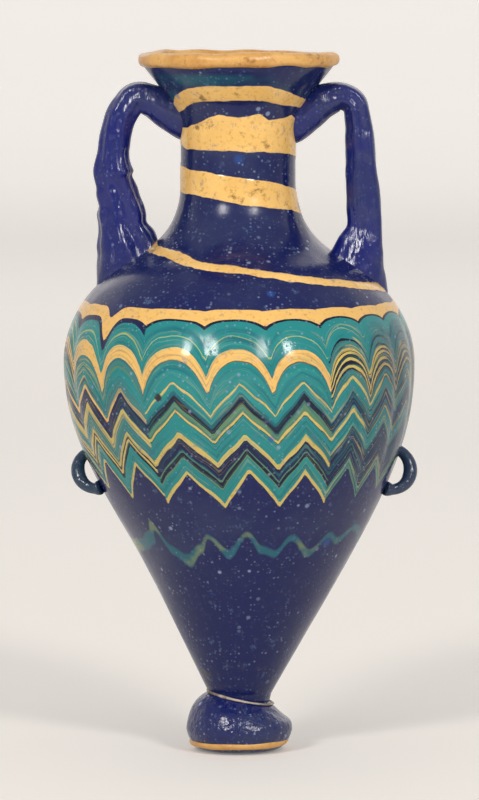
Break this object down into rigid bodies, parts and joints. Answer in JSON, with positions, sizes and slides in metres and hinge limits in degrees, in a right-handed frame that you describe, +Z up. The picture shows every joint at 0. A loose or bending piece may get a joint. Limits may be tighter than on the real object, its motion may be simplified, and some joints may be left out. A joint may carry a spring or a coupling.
{
  "type": "core-formed glass amphoriskos",
  "caption": "Small pointed perfume flask of blue glass with a funnel mouth, two handles, ring lugs, a pad foot and combed yellow and turquoise threads.",
  "frame": {"origin": "centre of the flat under the foot", "axes": "+Z up along the vessel's axis towards the mouth, +X towards the right handle, -Y towards the front"},
  "size_m": [0.0709, 0.0698, 0.1401],
  "materials": {
    "blue_glass": "opaque cobalt blue, glossy, finely pitted",
    "grey_blue_glass": "opaque grey blue, glossy",
    "yellow_glass": "opaque ochre yellow, semi-gloss, stained brown in places",
    "turquoise_glass": "opaque turquoise, glossy",
    "pale_glass": "opaque greyish cream, weathered"
  },
  "bodies": {
    "root": {"body_wall": "blue_glass", "rim_thread": "yellow_glass", "neck_thread": "yellow_glass", "shoulder_thread": "yellow_glass", "turquoise_band_upper": "turquoise_glass", "yellow_festoon_thread": "yellow_glass", "turquoise_band_middle": "turquoise_glass", "yellow_chevron_thread": "yellow_glass", "turquoise_band_lower": "turquoise_glass", "turquoise_band_bottom": "turquoise_glass", "yellow_edge_thread": "yellow_glass", "wavy_thread": "turquoise_glass", "left_handle": "blue_glass", "right_handle": "blue_glass", "left_ring_lug": "grey_blue_glass", "right_ring_lug": "grey_blue_glass", "foot": "blue_glass", "foot_thread": "yellow_glass", "seam_thread": "pale_glass"}
  },
  "joints": []
}
